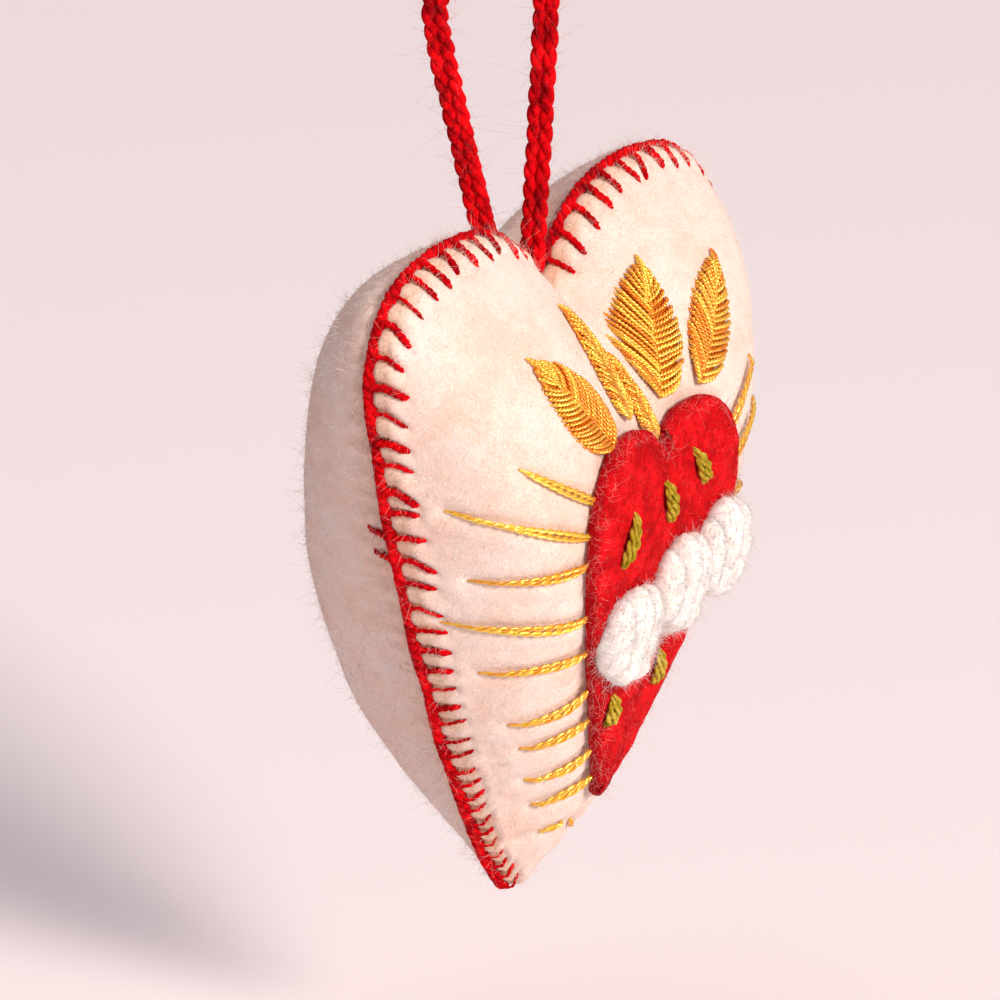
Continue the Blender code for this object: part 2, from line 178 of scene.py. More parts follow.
def heart_outline(count):
    w, h = HALF_WIDTH, HEART_HEIGHT
    cleft, top, side, toe = (0, 0.84 * h), (0.515 * w, h), (w, 0.867 * h), (0.06 * w, 0.024 * h)
    return mirrored(np.vstack((
        bezier(cleft, (0.09 * w, 0.953 * h), (0.295 * w, h), top, count),
        bezier(top, (0.772 * w, h), (w, 0.978 * h), side, count),
        bezier(side, (w, 0.764 * h), (0.475 * w, 0.223 * h), toe, 2 * count),
        bezier(toe, (0.032 * w, 0.009 * h), (0.02 * w, 0), (0, 0), max(2, count // 4)),
        [(0, 0)])))


def seam_line(count):
    """Even points round the seam."""
    return resampled(heart_outline(60), count, closed=True)


def applique_outline(count):
    w, tip, top = APPLIQUE_HALF_WIDTH, APPLIQUE_TIP, APPLIQUE_TOP
    h = top - tip
    crown, side = (0.53 * w, top), (w, top - 0.2 * h)
    return mirrored(np.vstack((
        bezier((0, APPLIQUE_CLEFT), (0.1 * w, top - 0.03 * h), (0.28 * w, top), crown, count),
        bezier(crown, (0.8 * w, top), (w, top - 0.08 * h), side, count),
        bezier(side, (w, top - 0.48 * h), (0.32 * w, tip + 0.2 * h), (0, tip), 2 * count),
        [(0, tip)]))) + (PATTERN_SHIFT, 0)


def lengths_along(points):
    return np.concatenate(([0.0], np.cumsum(norm(np.diff(points, axis=0), axis=1))))


def resampled(points, count, closed=False):
    """Points at even steps along a line."""
    line = np.vstack((points, points[:1])) if closed else np.asarray(points, dtype=float)
    travelled = lengths_along(line)
    at = np.linspace(0, travelled[-1], count, endpoint=not closed)
    return np.column_stack([np.interp(at, travelled, column) for column in line.T])


def smooth_route(points, count):
    """Even points on the smooth curve through a given route."""
    points = np.asarray(points, dtype=float)
    ends = np.vstack((2 * points[0] - points[1], points, 2 * points[-1] - points[-2]))
    a, b, c, d = (ends[k:len(ends) - 3 + k, None] for k in range(4))
    t = np.linspace(0, 1, 30, endpoint=False)[None, :, None]
    dense = 0.5 * (2 * b + (c - a) * t + (2 * a - 5 * b + 4 * c - d) * t ** 2
                   + (3 * b - a - 3 * c + d) * t ** 3)
    return resampled(np.vstack((dense.reshape(-1, 3), points[-1:])), count)


def unit(vectors):
    return vectors / np.maximum(norm(vectors, axis=-1, keepdims=True), 1e-12)


def blend(low, high, share):
    return low * (1 - share) + high * share


def outward_from(outline, reach=1):
    """Outward directions square to a closed outline."""
    run = unit(np.roll(outline, -reach, axis=0) - np.roll(outline, reach, axis=0))
    return np.column_stack((-run[:, 1], run[:, 0]))


def drawn(start, run, along, aside):
    """Points on the front, some shares of the way along a run and some way aside from it."""
    across = np.array((run[1], -run[0])) / norm(run)
    return start + run * along[:, None] + across * aside[:, None]


def roughness(points, size, seed):
    """Smooth noise from -1 to 1 at points of any array shape."""
    flat = (points.reshape(-1, 3) / size + seed * 17.3).tolist()
    return np.array([noise.noise(point) for point in flat]).reshape(points.shape[:-1])


# The stuffed faces


class Side:
    """Height of a stuffed side over its cut edge, as a smooth function of x and z."""

    def __init__(self, sign, node, centre, crown, end_power, flank_power, lean):
        low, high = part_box(node)
        self.sign, self.centre, self.crown = sign, centre, crown
        self.end_power, self.flank_power, self.lean = end_power, flank_power, lean
        outline = heart_outline(24)
        bearing = np.arctan2(outline[:, 0], outline[:, 1] - centre)
        order = np.argsort(bearing)
        self.bearings = bearing[order]
        self.distances = np.hypot(outline[:, 0], outline[:, 1] - centre)[order]
        self.fullness = 1.0
        grid_x, grid_z = np.meshgrid(np.linspace(-HALF_WIDTH, HALF_WIDTH, 90),
                                     np.linspace(0, HEART_HEIGHT, 90))
        self.fullness = (high.y - low.y - FELT_THICKNESS) / self.height(grid_x, grid_z).max()

    def seam_distance(self, bearing):
        wrapped = (bearing + math.pi) % (2 * math.pi) - math.pi
        return np.interp(wrapped, self.bearings, self.distances)

    def height(self, x, z):
        bearing = np.arctan2(x, z - self.centre)
        distance = np.hypot(x, z - self.centre)
        spread = CREASE_SOFTENING * np.maximum(0, 1 - distance / self.seam_distance(bearing))
        weights = ((-1, 0.15), (-0.5, 0.22), (0, 0.26), (0.5, 0.22), (1, 0.15))
        mean = sum(weight * self.seam_distance(bearing + turn * spread) for turn, weight in weights)
        reach = np.minimum(distance / mean, 1)
        power = self.end_power + (self.flank_power - self.end_power) * np.sin(bearing) ** 2
        dome = np.maximum(1 - reach ** self.crown, 0) ** (1 / power)
        rise = np.clip((z - self.centre) / (0.5 * HEART_HEIGHT), -1, 1)
        return self.fullness * dome * (1 + self.lean * np.sin(0.5 * np.pi * rise))

    def y(self, x, z):
        return self.sign * (PIECE_GAP / 2 + FELT_THICKNESS + self.height(x, z))

    def outward(self, x, z):
        step = 0.2 * MM
        slope_x = (self.y(x + step, z) - self.y(x - step, z)) / (2 * step)
        slope_z = (self.y(x, z + step) - self.y(x, z - step)) / (2 * step)
        return unit(np.stack((-slope_x, np.ones_like(slope_x), -slope_z), axis=-1) * self.sign)

    def on_face(self, x, z, lift=0.0):
        """Points a given distance above the cloth, square to it."""
        x, z = np.asarray(x, dtype=float), np.asarray(z, dtype=float)
        lift = np.asarray(lift, dtype=float)
        return np.stack((x, self.y(x, z), z), axis=-1) + self.outward(x, z) * lift[..., None]


# Meshes


def closed_bodies(rings, marks=0.0):
    """Extrudes closed bodies, all together, through rings of corners.

    rings has the shape bodies, steps, corners, 3. marks has one value for each body, step or
    corner, and is kept on the corners as the attribute that the materials read.
    """
    bodies, steps, corners, _ = rings.shape
    bm = bmesh.new()
    place = bm.verts.layers.int.new("place")
    mark = bm.verts.layers.float.new("mark")
    rows = (rings + TIP).transpose(1, 0, 2, 3).reshape(steps, bodies * corners, 3).tolist()
    marks = np.asarray(marks, dtype=float)
    marks = np.broadcast_to(marks.reshape(marks.shape + (1,) * (3 - marks.ndim)), rings.shape[:3])
    marks = marks.transpose(1, 0, 2).reshape(steps, bodies * corners).tolist()
    ring = []
    for corner, spot in enumerate(rows[0]):
        vert = bm.verts.new(spot)
        vert[place], vert[mark] = corner, marks[0][corner]
        ring.append(vert)
    faces = [bm.faces.new(ring[k:k + corners]) for k in range(0, len(ring), corners)]
    for step in range(1, steps):
        if step == 1:
            grown = bmesh.ops.extrude_face_region(bm, geom=faces)["geom"]
            faces = [item for item in grown if isinstance(item, bmesh.types.BMFace)]
        else:
            faces = bmesh.ops.extrude_discrete_faces(bm, faces=faces)["faces"]
        row, row_marks = rows[step], marks[step]
        for face in faces:
            for vert in face.verts:
                vert.co = row[vert[place]]
                vert[mark] = row_marks[vert[place]]
    return bm, faces


def placed(name, data):
    """An object in the scene."""
    thing = bpy.data.objects.new(name, data)
    bpy.context.scene.collection.objects.link(thing)
    return thing


def piece(name, bm, look, node=None):
    """Turns a mesh in progress into a piece that rides on the frame."""
    mesh = bpy.data.meshes.new(name)
    bmesh.ops.recalc_face_normals(bm, faces=bm.faces)
    bm.to_mesh(mesh)
    bm.free()
    mesh.shade_smooth()
    mesh.materials.append(look)
    thing = placed(name, mesh)
    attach(thing, "root")
    if node:
        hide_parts(node)
    return thing


def frames_along(paths, up):
    """Side and upward directions square to each path."""
    run = unit(np.gradient(paths, axis=1))
    across = unit(np.cross(run, up))
    return across, np.cross(across, run)


def tube_rings(paths, up, radii, corners):
    """Rings of corners around each path."""
    across, rise = frames_along(paths, up)
    turn = 2 * np.pi * np.arange(corners) / corners
    spokes = (across[:, :, None] * np.cos(turn)[:, None] + rise[:, :, None] * np.sin(turn)[:, None])
    return paths[:, :, None] + spokes * radii[:, :, None, None]


def twisted(paths, up, spread, pitch, plies, start=0.0):
    """The plies of each yarn, wound round its middle line."""
    across, rise = frames_along(paths, up)
    steps = norm(np.diff(paths, axis=1), axis=2)
    along = np.pad(np.cumsum(steps, axis=1), ((0, 0), (1, 0)))
    wound = []
    for ply in range(plies):
        turn = (2 * np.pi * (along / pitch + ply / plies) + start)[..., None]
        wound.append(paths + spread[..., None] * (across * np.cos(turn) + rise * np.sin(turn)))
    return np.concatenate(wound)


def yarn(paths, up, ply_radius, pitch, plies, corners, taper, start=0.0, packing=0.92):
    """Rings of twisted yarns, ready to be extruded. taper scales the thickness along each path."""
    taper = np.broadcast_to(taper, paths.shape[:2])
    spread = packing * ply_radius * taper * (1.0 if plies == 2 else 1.12)
    wound = twisted(paths, up, spread, pitch, plies, start)
    return tube_rings(wound, np.concatenate([up] * plies),
                      np.concatenate([ply_radius * taper] * plies), corners)


def laid(front, paths, lifts):
    """Paths drawn on the front, at their heights over the cloth, with their upward directions."""
    flat = np.array(paths)
    x, z = flat[..., 0], flat[..., 1]
    return front.on_face(x, z, np.array(lifts)), front.outward(x, z)


def fibres(name, roots, outs, dice, usual, longest, look, seed, thickness=0.05, lie=0.9,
           curl=0.6, steps=3):
    """Loose fibres: each leaves the surface at a slant, bends and thins out.

    Most are of the usual length and a few longer, by the throws of dice. They are about twice as
    thick as real wool fibre, so that they still show. Lengths and thickness are in millimetres.
    """
    rng = default_rng(seed)
    count = len(roots)
    lengths = (usual + (longest - usual) * dice.random(count) ** 6) * MM
    slant = unit(outs + lie * unit(rng.normal(size=(count, 3))))
    bend = unit(rng.normal(size=(count, 3)))
    share = np.linspace(0, 1, steps)[None, :, None]
    reach = lengths[:, None, None]
    paths = (roots[:, None] + slant[:, None] * share * reach
             + bend[:, None] * (curl * reach * share ** 2))
    thickness = thickness * MM * rng.uniform(0.7, 1.3, (count, 1))
    radii = 0.5 * thickness * np.linspace(1, 0.35, steps)
    up = np.repeat(unit(rng.normal(size=(count, 1, 3))), steps, axis=1)
    bm, _ = closed_bodies(tube_rings(paths, up, radii, 3), rng.random(count))
    return piece(name, bm, look)


# Felt sides


class Cloth:
    """A felt side as a grid of columns round the seam and rings from the cut edge to the middle."""

    def __init__(self, side, stitches, pull, marks_on_face):
        self.side, self.pull = side, pull
        fine = seam_line(SEAM_COLUMNS)
        out = outward_from(fine)
        self.length = norm(np.roll(fine, -1, axis=0) - fine, axis=1).sum()
        share = np.cos(0.5 * np.pi * np.arange(DOME_RINGS) / DOME_RINGS)[:, None] ** 0.9
        x = share * fine[:, 0]
        z = side.centre + share * (fine[:, 1] - side.centre)
        face = side.on_face(x, z)
        normal = side.outward(x, z)
        edge_out = np.insert(out, 1, 0, axis=1)
        mate, rim = side.sign * PIECE_GAP / 2, side.sign * (PIECE_GAP / 2 + FELT_THICKNESS)
        wall = ((-0.5 * MM, mate), (0.0, mate), (0.12 * MM, 0.5 * (mate + rim)))
        wall = [np.insert(fine + out * inset, 1, y, axis=1) for inset, y in wall]
        grid = np.concatenate((wall, face))
        square = np.concatenate((np.repeat(edge_out[None], 3, axis=0), normal))
        square[3] = unit(edge_out + normal[0] * 0.6)
        depth = np.concatenate((np.zeros((4, SEAM_COLUMNS)),
                                np.cumsum(norm(np.diff(face, axis=0), axis=2), axis=0)))
        where = np.broadcast_to(np.arange(SEAM_COLUMNS) * self.length / SEAM_COLUMNS, depth.shape)
        gap = stitches.gap(where, depth)
        groove = np.exp(-(gap / (0.62 * MM)) ** 2)
        block = (np.exp(-((depth - 1.0 * MM) / (1.8 * MM)) ** 2)
                 * (1 - np.exp(-(gap / (1.2 * MM)) ** 2)))
        lift = pull * (BLOCK_PUFF * block - LEG_GROOVE * groove)
        lift[0] = 0
        lift = lift + marks_on_face(grid)
        lift += 0.2 * MM * roughness(grid, 7 * MM, 1) + 0.07 * MM * roughness(grid, 1.3 * MM, 2)
        self.grid = grid + square * lift[..., None]
        self.square, self.depth, self.groove = square, depth, groove

    def at(self, along, depth, lift):
        """Points some way along the seam, some depth in from its edge and some lift over it."""
        column = (along / self.length * SEAM_COLUMNS) % SEAM_COLUMNS
        left = np.floor(column).astype(int) % SEAM_COLUMNS
        right, share = (left + 1) % SEAM_COLUMNS, (column - np.floor(column))[..., None]
        places, squares = [], []
        for side in (left, right):
            ring = np.array([np.interp(deep, self.depth[3:, line], np.arange(3, len(self.depth)))
                             for deep, line in zip(depth, side)])
            low = np.floor(ring).astype(int)
            high = np.minimum(low + 1, len(self.depth) - 1)
            part = (ring - low)[..., None]
            places.append(blend(self.grid[low, side], self.grid[high, side], part))
            squares.append(blend(self.square[low, side], self.square[high, side], part))
        place, square = blend(*places, share), unit(blend(*squares, share))
        return place + square * lift[:, None]

    def scatter(self, count, seed, weight):
        """Random roots on the face, denser where weight, on the same grid, is high."""
        rng = default_rng(seed)
        across = norm(np.roll(self.grid, -1, axis=1) - self.grid, axis=2)[2:-1]
        tall = norm(np.diff(self.grid[2:], axis=0), axis=2)
        chance = (across * tall * weight[2:-1]).ravel()
        chosen = rng.choice(chance.size, count, p=chance / chance.sum())
        ring, column = np.unravel_index(chosen, across.shape)
        ring += 2
        following = (column + 1) % SEAM_COLUMNS
        u, v = rng.random((2, count, 1))
        low = blend(self.grid[ring, column], self.grid[ring, following], u)
        high = blend(self.grid[ring + 1, column], self.grid[ring + 1, following], u)
        return blend(low, high, v), self.square[ring, column]


def felt_side(node, cloth, look):
    """The felt side's mesh. Its mark is painted warm shade: high at the pinched edge and in the
    leg grooves, and fading within 3 mm.
    """
    # Painted warm shade, strongest at the cut edge and in the grooves by the legs
    mark = cloth.pull * np.exp(-(cloth.depth / (1.2 * MM)) ** 2) * (0.45 + 0.55 * cloth.groove)
    bm, last = closed_bodies(cloth.grid[None], mark[None])
    middle = cloth.side.on_face(0.0, cloth.side.centre) + TIP
    poked = bmesh.ops.poke(bm, faces=last)
    poked["verts"][0].co = middle
    thing = piece(f"{node}_cloth", bm, look, node)


def distance_to_lines(points, lines):
    """Distance from each point to the nearest of several lines of points."""
    near = np.full(points.shape[:-1], 1.0)
    for line in lines:
        for a, b in zip(line, line[1:]):
            run = b - a
            share = np.clip(((points - a) @ run) / (run @ run), 0, 1)
            near = np.minimum(near, norm(points - a - share[..., None] * run, axis=-1))
    return near


# Blanket stitch


class Stitches:
    """Where the blanket stitch's legs stand on the seam, how far they reach and how they lean."""

    def __init__(self, seed):
        rng = default_rng(seed)
        fine = seam_line(SEAM_POINTS)
        travelled = lengths_along(np.vstack((fine, fine[:1])))
        self.total, travelled = travelled[-1], travelled[:-1]
        self.start = travelled[np.argmax(fine[:, 0] > CLEFT_OPENING)]
        places, along = [], self.start + 1.2 * MM
        while along < self.total - self.start - 1.0 * MM:
            places.append(along + rng.uniform(-0.35, 0.35) * MM)
            height = np.interp(along, travelled, fine[:, 1]) / HEART_HEIGHT
            share = np.clip((height - 0.12) / 0.35, 0, 1)
            along += STITCH_PITCH_AT_TIP + (STITCH_PITCH - STITCH_PITCH_AT_TIP) * share
        self.places = np.array(places)
        self.height = np.interp(self.places, travelled, fine[:, 1]) / HEART_HEIGHT
        self.hand = np.where(self.places < self.total / 2, 1, -1)
        rise, count = np.clip((self.height - 0.1) / 0.45, 0, 1), len(places)
        self.reach = (1.0 + 1.95 * rise + rng.uniform(-0.35, 0.7, count)) * MM
        self.slope = -self.hand * (0.75 - 0.9 * rise) + rng.normal(0, 0.2, count)
        self.thickness = rng.uniform(0.62, 1.25, count) * (0.45 + 0.55 * rise)

    def gap(self, along, depth):
        """Distance over the cloth to the nearest leg."""
        apart = np.abs(along[..., None] - self.places - self.slope * depth[..., None])
        apart = np.minimum(apart, self.total - apart) / np.sqrt(1 + self.slope ** 2)
        past = np.maximum(depth[..., None] - self.reach, 0)
        return np.hypot(apart, past).min(axis=-1)


def beside_seam(along, total, out, y):
    """Points off the seam line: some way along it, outwards and to the back."""
    fine = seam_line(SEAM_POINTS)
    square = outward_from(fine, 3)
    at = (along / total * len(fine)) % len(fine)
    low = np.floor(at).astype(int) % len(fine)
    high, share = (low + 1) % len(fine), (at - np.floor(at))[..., None]
    spot = blend(fine[low], fine[high], share) + square[low] * np.asarray(out)[..., None]
    return np.stack((spot[..., 0], np.broadcast_to(y, spot.shape[:-1]), spot[..., 1]), axis=-1)


def edge_stitching(cloth, back_cloth, stitches, look):
    """A soft ridge of yarn along the seam, and at each stitch a leg over the front's cut edge."""
    legs, start, total = stitches.places, stitches.start, stitches.total
    along = np.linspace(start, total - start, 1100)
    knot = np.exp(-(np.abs(along[:, None] - legs[None]).min(axis=1) / (0.8 * MM)) ** 2)
    out = RIDGE_OUT + 0.08 * MM * knot + 0.1 * MM * np.sin(along / (2.3 * MM))
    back = RIDGE_BACK - 0.1 * MM * knot + 0.12 * MM * np.sin(along / (3.3 * MM) + 1)
    path = beside_seam(along, total, out, back)[None]
    up = np.broadcast_to((0.0, 1.0, 0.0), path.shape)
    ends = np.clip(np.minimum(along - start, total - start - along) / (1.5 * MM), 0.3, 1)
    swell = 1 + 0.1 * knot + 0.1 * roughness(path[0], 2.4 * MM, 4)
    ridge_rings = yarn(path, up, RIDGE_PLY, 4.4 * MM, 3, 8, swell * ends, packing=0.66)
    ridge, _ = closed_bodies(ridge_rings, np.full(3, 0.4))

    share = np.linspace(0, 1, 24)

    def leg_path(side_cloth, leg, out, back, lean, depth, lift):
        """A leg's route: off the seam, over the cut edge and in over the cloth."""
        over = beside_seam(np.full(len(out), leg), total, np.array(out) * MM, np.array(back) * MM)
        on_cloth = side_cloth.at(leg + lean * depth, depth, np.array(lift) * MM)
        return smooth_route(np.vstack((over, on_cloth)), len(share))

    def leg_yarn(paths, pitch, taper, packing):
        crossing = np.cross(np.gradient(paths, axis=1), (0.31, 0.22, 0.93))
        return yarn(paths, crossing, LEG_PLY, pitch, 2, 7, taper, packing=packing)

    paths = []
    for leg, length, slope, thickness in zip(legs, stitches.reach, stitches.slope,
                                             stitches.thickness):
        sunk = 0.35 * np.clip(1 - thickness, 0, 0.5) * np.array((0, 1, 1, 0.6, 0))
        paths.append(leg_path(cloth, leg, (0.2, 0.75, 0.82, 0.5), (0.5, -0.1, -0.9, -1.75), slope,
                              np.linspace(0.12, 1, 5) * length,
                              np.array((0.5, 0.5, 0.48, 0.38, -0.15)) - sunk))
    taper = np.interp(share, (0, 0.1, 0.45, 0.85, 1), (0.8, 1, 1.05, 1, 0.8))
    rings = leg_yarn(np.array(paths), 1.9 * MM, taper * stitches.thickness[:, None], 0.68)
    stitched, _ = closed_bodies(rings, default_rng(11).random(len(rings)))

    # Two catches show on the left of the back, where the needle came out early
    low, high = CATCH_HEIGHTS
    caught = (stitches.hand < 0) & (stitches.height > low) & (stitches.height < high)
    paths = np.array([leg_path(back_cloth, leg, (0.6, 0.95, 0.6), (-0.1, 0.8, 1.5), 0.4,
                               np.array((0.3, 0.9, 1.5)) * MM, (0.35, 0.25, -0.2))
                      for leg in legs[caught]])
    taper = np.interp(share, (0, 0.6, 1), (0.9, 0.9, 0.4))
    catches, _ = closed_bodies(leg_yarn(paths, 1.7 * MM, taper, 0.92))
    joined("edge_blanket_stitch", (ridge, stitched, catches), look, "edge_stitching")
    return path[0]


def joined(name, parts, look, node=None):
    """One piece from several meshes in progress."""
    whole = bmesh.new()
    whole.verts.layers.int.new("place")
    whole.verts.layers.float.new("mark")
    for part in parts:
        mesh = bpy.data.meshes.new("part")
        bmesh.ops.recalc_face_normals(part, faces=part.faces)
        part.to_mesh(mesh)
        part.free()
        whole.from_mesh(mesh)
        bpy.data.meshes.remove(mesh)
    return piece(name, whole, look, node)


# Small felt heart


def felt_applique(front, look):
    """A cut felt heart with an upright edge and a rounded rim. Its mark is painted shade, 1 on
    the cut edge.
    """
    outline = resampled(applique_outline(24), 300, closed=True)
    out = outward_from(outline)
    centre = 0.5 * (APPLIQUE_TIP + APPLIQUE_TOP)
    top = PIECE_GAP + APPLIQUE_THICKNESS
    # Rows of the rim: inset and lift in millimetres, and the share of painted shade
    profile = ((-0.45, 0.1, 0), (0.0, 0.05, 1), (0.12, 0.45, 1), (0.14, 0.9, 1), (0.08, 1.35, 1),
               (-0.1, 1.72, 0.8), (-0.4, 1.98, 0.4), (-0.9, 2.1, 0.1))
    rings = [front.on_face(*(outline + out * inset * MM).T, lift * MM)
             for inset, lift, _ in profile]
    inner, middle = outline - out * 1.4 * MM, np.array((PATTERN_SHIFT, centre))
    for share in np.linspace(1, 0.03, 26):
        rings.append(front.on_face(*(middle + share * (inner - middle)).T, top))
    marks = [mark for *_, mark in profile] + [0] * 26
    grid = np.array(rings)
    square = front.outward(grid[..., 0], grid[..., 2])
    grid = grid + square * (0.17 * MM * roughness(grid, 3.2 * MM, 5)
                            + 0.1 * MM * roughness(grid, 0.9 * MM, 6))[..., None]
    ragged = 0.12 * MM * roughness(grid[1:8], 1.1 * MM, 7)
    grid[1:8, :, 0] += out[:, 0] * ragged
    grid[1:8, :, 2] += out[:, 1] * ragged
    bm, _ = closed_bodies(grid[None], [marks])
    piece("applique_cloth", bm, look, "heart_applique")
    return grid


# Gold embroidery


def leaf_breadth(share):
    """A leaf's half width along its midrib, as a share of the widest place."""
    return np.sin(np.pi * np.clip(share, 0, 1) ** 0.85) ** 0.75


def gold_leaf(node, front, look, seed):
    """Fishbone stitches: each runs from the leaf's edge down to the midrib, over a low pad."""
    rng = default_rng(seed)
    root, tip, width = long_piece(node)
    run = tip - root
    share = np.linspace(0, 1, 34)
    paths, lifts, shades = [], [], []
    for hand in (-1, 1):
        for index in range(LEAF_STITCHES):
            count = index + rng.uniform(-0.2, 0.2) + 0.25 * (hand > 0)
            outer = 0.13 + 0.87 * count / LEAF_STITCHES
            inner = max(outer - 0.25 * (1 - 0.2 * outer), -0.02)
            edge = hand * leaf_breadth(outer) * 0.5 * width * rng.uniform(0.95, 1.08)
            crossing = -hand * 0.05 * width * (1 if inner > 0.04 else 0.2)
            bow = 0.06 * width * np.sin(np.pi * share) * hand
            u = inner + (outer - inner) * share
            v = crossing + (edge - crossing) * share ** 1.15 + bow
            paths.append(drawn(root, run, u, v))
            rise = np.interp(share, (0, 0.12, 0.45, 0.8, 1), (0.35, 0.75, 1, 0.75, -0.05))
            lifts.append(LEAF_RISE * rise * rng.uniform(0.9, 1.1) + 0.04 * MM * (index % 2))
            shades.append(rng.random())
    for offset in (-0.06, 0.0, 0.07):
        u = np.linspace(0.74 + offset, 1.03 + 0.3 * offset, len(share))
        v = offset * width * (1 - share)
        paths.append(drawn(root, run, u, v))
        lifts.append(LEAF_RISE * np.interp(share, (0, 0.2, 0.7, 1), (0.7, 1, 0.7, -0.05)))
        shades.append(rng.random())
    lines, up = laid(front, paths, lifts)
    taper = np.interp(share, (0, 0.08, 0.9, 1), (0.7, 1, 0.95, 0.5))
    rings = yarn(lines, up, GOLD_PLY, GOLD_TWIST, 2, 6, taper)
    stitched, _ = closed_bodies(rings, np.tile(shades, 2))

    share = np.linspace(0.03, 0.97, 22)
    pad = []
    for place, lift in ((-1, -0.1), (0, -0.2), (1, -0.1), (0.9, 0.2), (0.45, 0.5), (0, 0.42),
                        (-0.45, 0.5), (-0.9, 0.2)):
        v = place * 0.43 * width * leaf_breadth(share)
        spot = drawn(root, run, share, v)
        pad.append(front.on_face(*spot.T, np.full(len(share), lift * LEAF_RISE)))
    # The pad takes the deepest gold: painted shade between the stitches
    padded, _ = closed_bodies(np.array(pad).transpose(1, 0, 2)[None], [-0.6])
    joined(f"{node}_stitches", (stitched, padded), look, node)


def gold_ray(node, front, look, seed):
    """A long stitch of doubled thread. Its inner end tucks under the small heart, except below
    the heart's tip, where the stitch is short, thin and sunk into the felt.
    """
    rng = default_rng(seed)
    low, high, _ = long_piece(node)
    low_is_inner = abs(low[0] - PATTERN_SHIFT) < abs(high[0] - PATTERN_SHIFT)
    inner, outer = (low, high) if low_is_inner else (high, low)
    ahead = unit(outer - inner)
    free_end = inner[1] < APPLIQUE_TIP
    if free_end:
        outer = outer - ahead * FREE_RAY_CUT
    else:
        inner = inner - ahead * RAY_TUCK
    run = outer - inner
    share = np.linspace(0, 1, int(norm(run) / (0.17 * MM)))
    width = rng.uniform(0.36, 0.46) * MM * (0.5 if free_end else 1)
    paths, lifts = [], []
    for hand in (-1, 1):
        apart = width * np.interp(share, (0, 0.4, 0.88, 1), (0.9, 1, 0.9, 0.15))
        sway = hand * apart * np.cos(0.9 * np.pi * (share - 0.3) * rng.uniform(0.7, 1.2))
        bow = 0.25 * MM * np.sin(np.pi * share) * (1 if seed % 2 else -1)
        paths.append(drawn(inner, run, share, sway + bow))
        middle = 0.12 * MM * np.sin(1.8 * np.pi * share + hand)
        rise = (-0.4, 0.1, 0.12, 0.1, -0.3) if free_end else (0.3, 0.46, 0.48, 0.4, -0.3)
        lifts.append(np.interp(share, (0, 0.15, 0.5, 0.88, 1), rise) * MM + middle)
    lines, up = laid(front, paths, lifts)
    taper = np.interp(share, (0, 0.12, 0.85, 1), (0.8, 1.1, 1, 0.3))
    rings = yarn(lines, up, RAY_PLY * (0.7 if free_end else 1), GOLD_TWIST * 2.5, 2, 7, taper,
                 rng.uniform(0, 6), 0.8)
    bm, _ = closed_bodies(rings, rng.uniform(0.3, 1, len(rings)))
    piece(f"{node}_thread", bm, look, node)


def middle_line(node, front):
    """A narrow solid's middle line, laid on the cloth."""
    low, high, _ = long_piece(node)
    spots = low + (high - low) * np.linspace(0, 1, 5)[:, None]
    return front.on_face(*spots.T)


# Wool roses and green leaves


def white_rose(node, front, look, seed):
    """Thick upright rolls of soft wool, faintly wrapped, the middle ones longer and higher."""
    rng = default_rng(seed)
    flat = node_points(node)[:, (0, 2)]
    middle = (flat.min(axis=0) + flat.max(axis=0)) / 2
    base = PIECE_GAP + APPLIQUE_THICKNESS
    steps, corners = 130, 22
    share = np.linspace(-1, 1, steps)
    bodies, rows, ups = [], [], []
    for offset, half, lift, radius in ROSE_ROLLS:
        bend = offset * (1 - 0.28 * share ** 2) + rng.uniform(-0.2, 0.2)
        x = middle[0] + bend * MM
        z = middle[1] + (half - 0.6) * share * MM + rng.uniform(-0.3, 0.3) * MM
        above = base + (lift - 0.9 * np.abs(share) ** 3) * MM
        bodies.append(front.on_face(x, z, above))
        ups.append(front.outward(x, z))
        end = np.sqrt(np.clip(1 - np.clip((np.abs(share) - 0.5) / 0.5, 0, 1) ** 2.4, 0.02, 1))
        along = (share + 1) * half * MM
        wrap = 1 + 0.01 * np.sin(2 * np.pi * along / WRAP_PITCH + rng.uniform(0, 6))
        swell = 1 + 0.07 * np.sin(share * 4 + rng.uniform(0, 6))
        rows.append(radius * MM * end * wrap * swell)
    paths = np.array(bodies)
    rings = tube_rings(paths, np.array(ups), np.array(rows), corners)
    lean = 0.18 * MM * np.sin(2 * np.pi * np.arange(corners) / corners)
    rings = rings + unit(np.gradient(paths, axis=1))[:, :, None] * lean[:, None]
    spread = unit(rings - paths[:, :, None])
    rings = rings + spread * (0.45 * MM * roughness(rings, 2.3 * MM, seed)
                              + 0.15 * MM * roughness(rings, 0.7 * MM, seed + 1))[..., None]
    bm, _ = closed_bodies(rings, rng.random(len(paths)))
    piece(f"{node}_rolls", bm, look, node)
    return rings


def green_leaf(node, front, look, seed):
    """Three short stitches side by side, which meet at both ends."""
    rng = default_rng(seed)
    root, tip, width = long_piece(node)
    run = tip - root
    share = np.linspace(0, 1, 40)
    base = PIECE_GAP + APPLIQUE_THICKNESS
    paths, lifts = [], []
    for offset in (-1, 0.05, 1):
        v = offset * 0.26 * width * np.sin(np.pi * np.clip(share * 0.92 + 0.06, 0, 1)) ** 0.6
        u = share * rng.uniform(0.94, 1.04)
        paths.append(drawn(root, run, u, v))
        arch = np.interp(share, (0, 0.18, 0.5, 0.85, 1), (-0.2, 0.6, 0.85, 0.55, -0.2))
        lifts.append(base + (arch + 0.3 * (offset == 0.05)) * MM)
    lines, up = laid(front, paths, lifts)
    taper = np.interp(share, (0, 0.2, 0.7, 1), (0.7, 1.1, 1, 0.45))
    rings = yarn(lines, up, GREEN_PLY, 3.4 * MM, 2, 7, taper, rng.uniform(0, 6))
    bm, _ = closed_bodies(rings, rng.random(len(rings)))
    piece(f"{node}_strands", bm, look, node)


# Crocheted loop


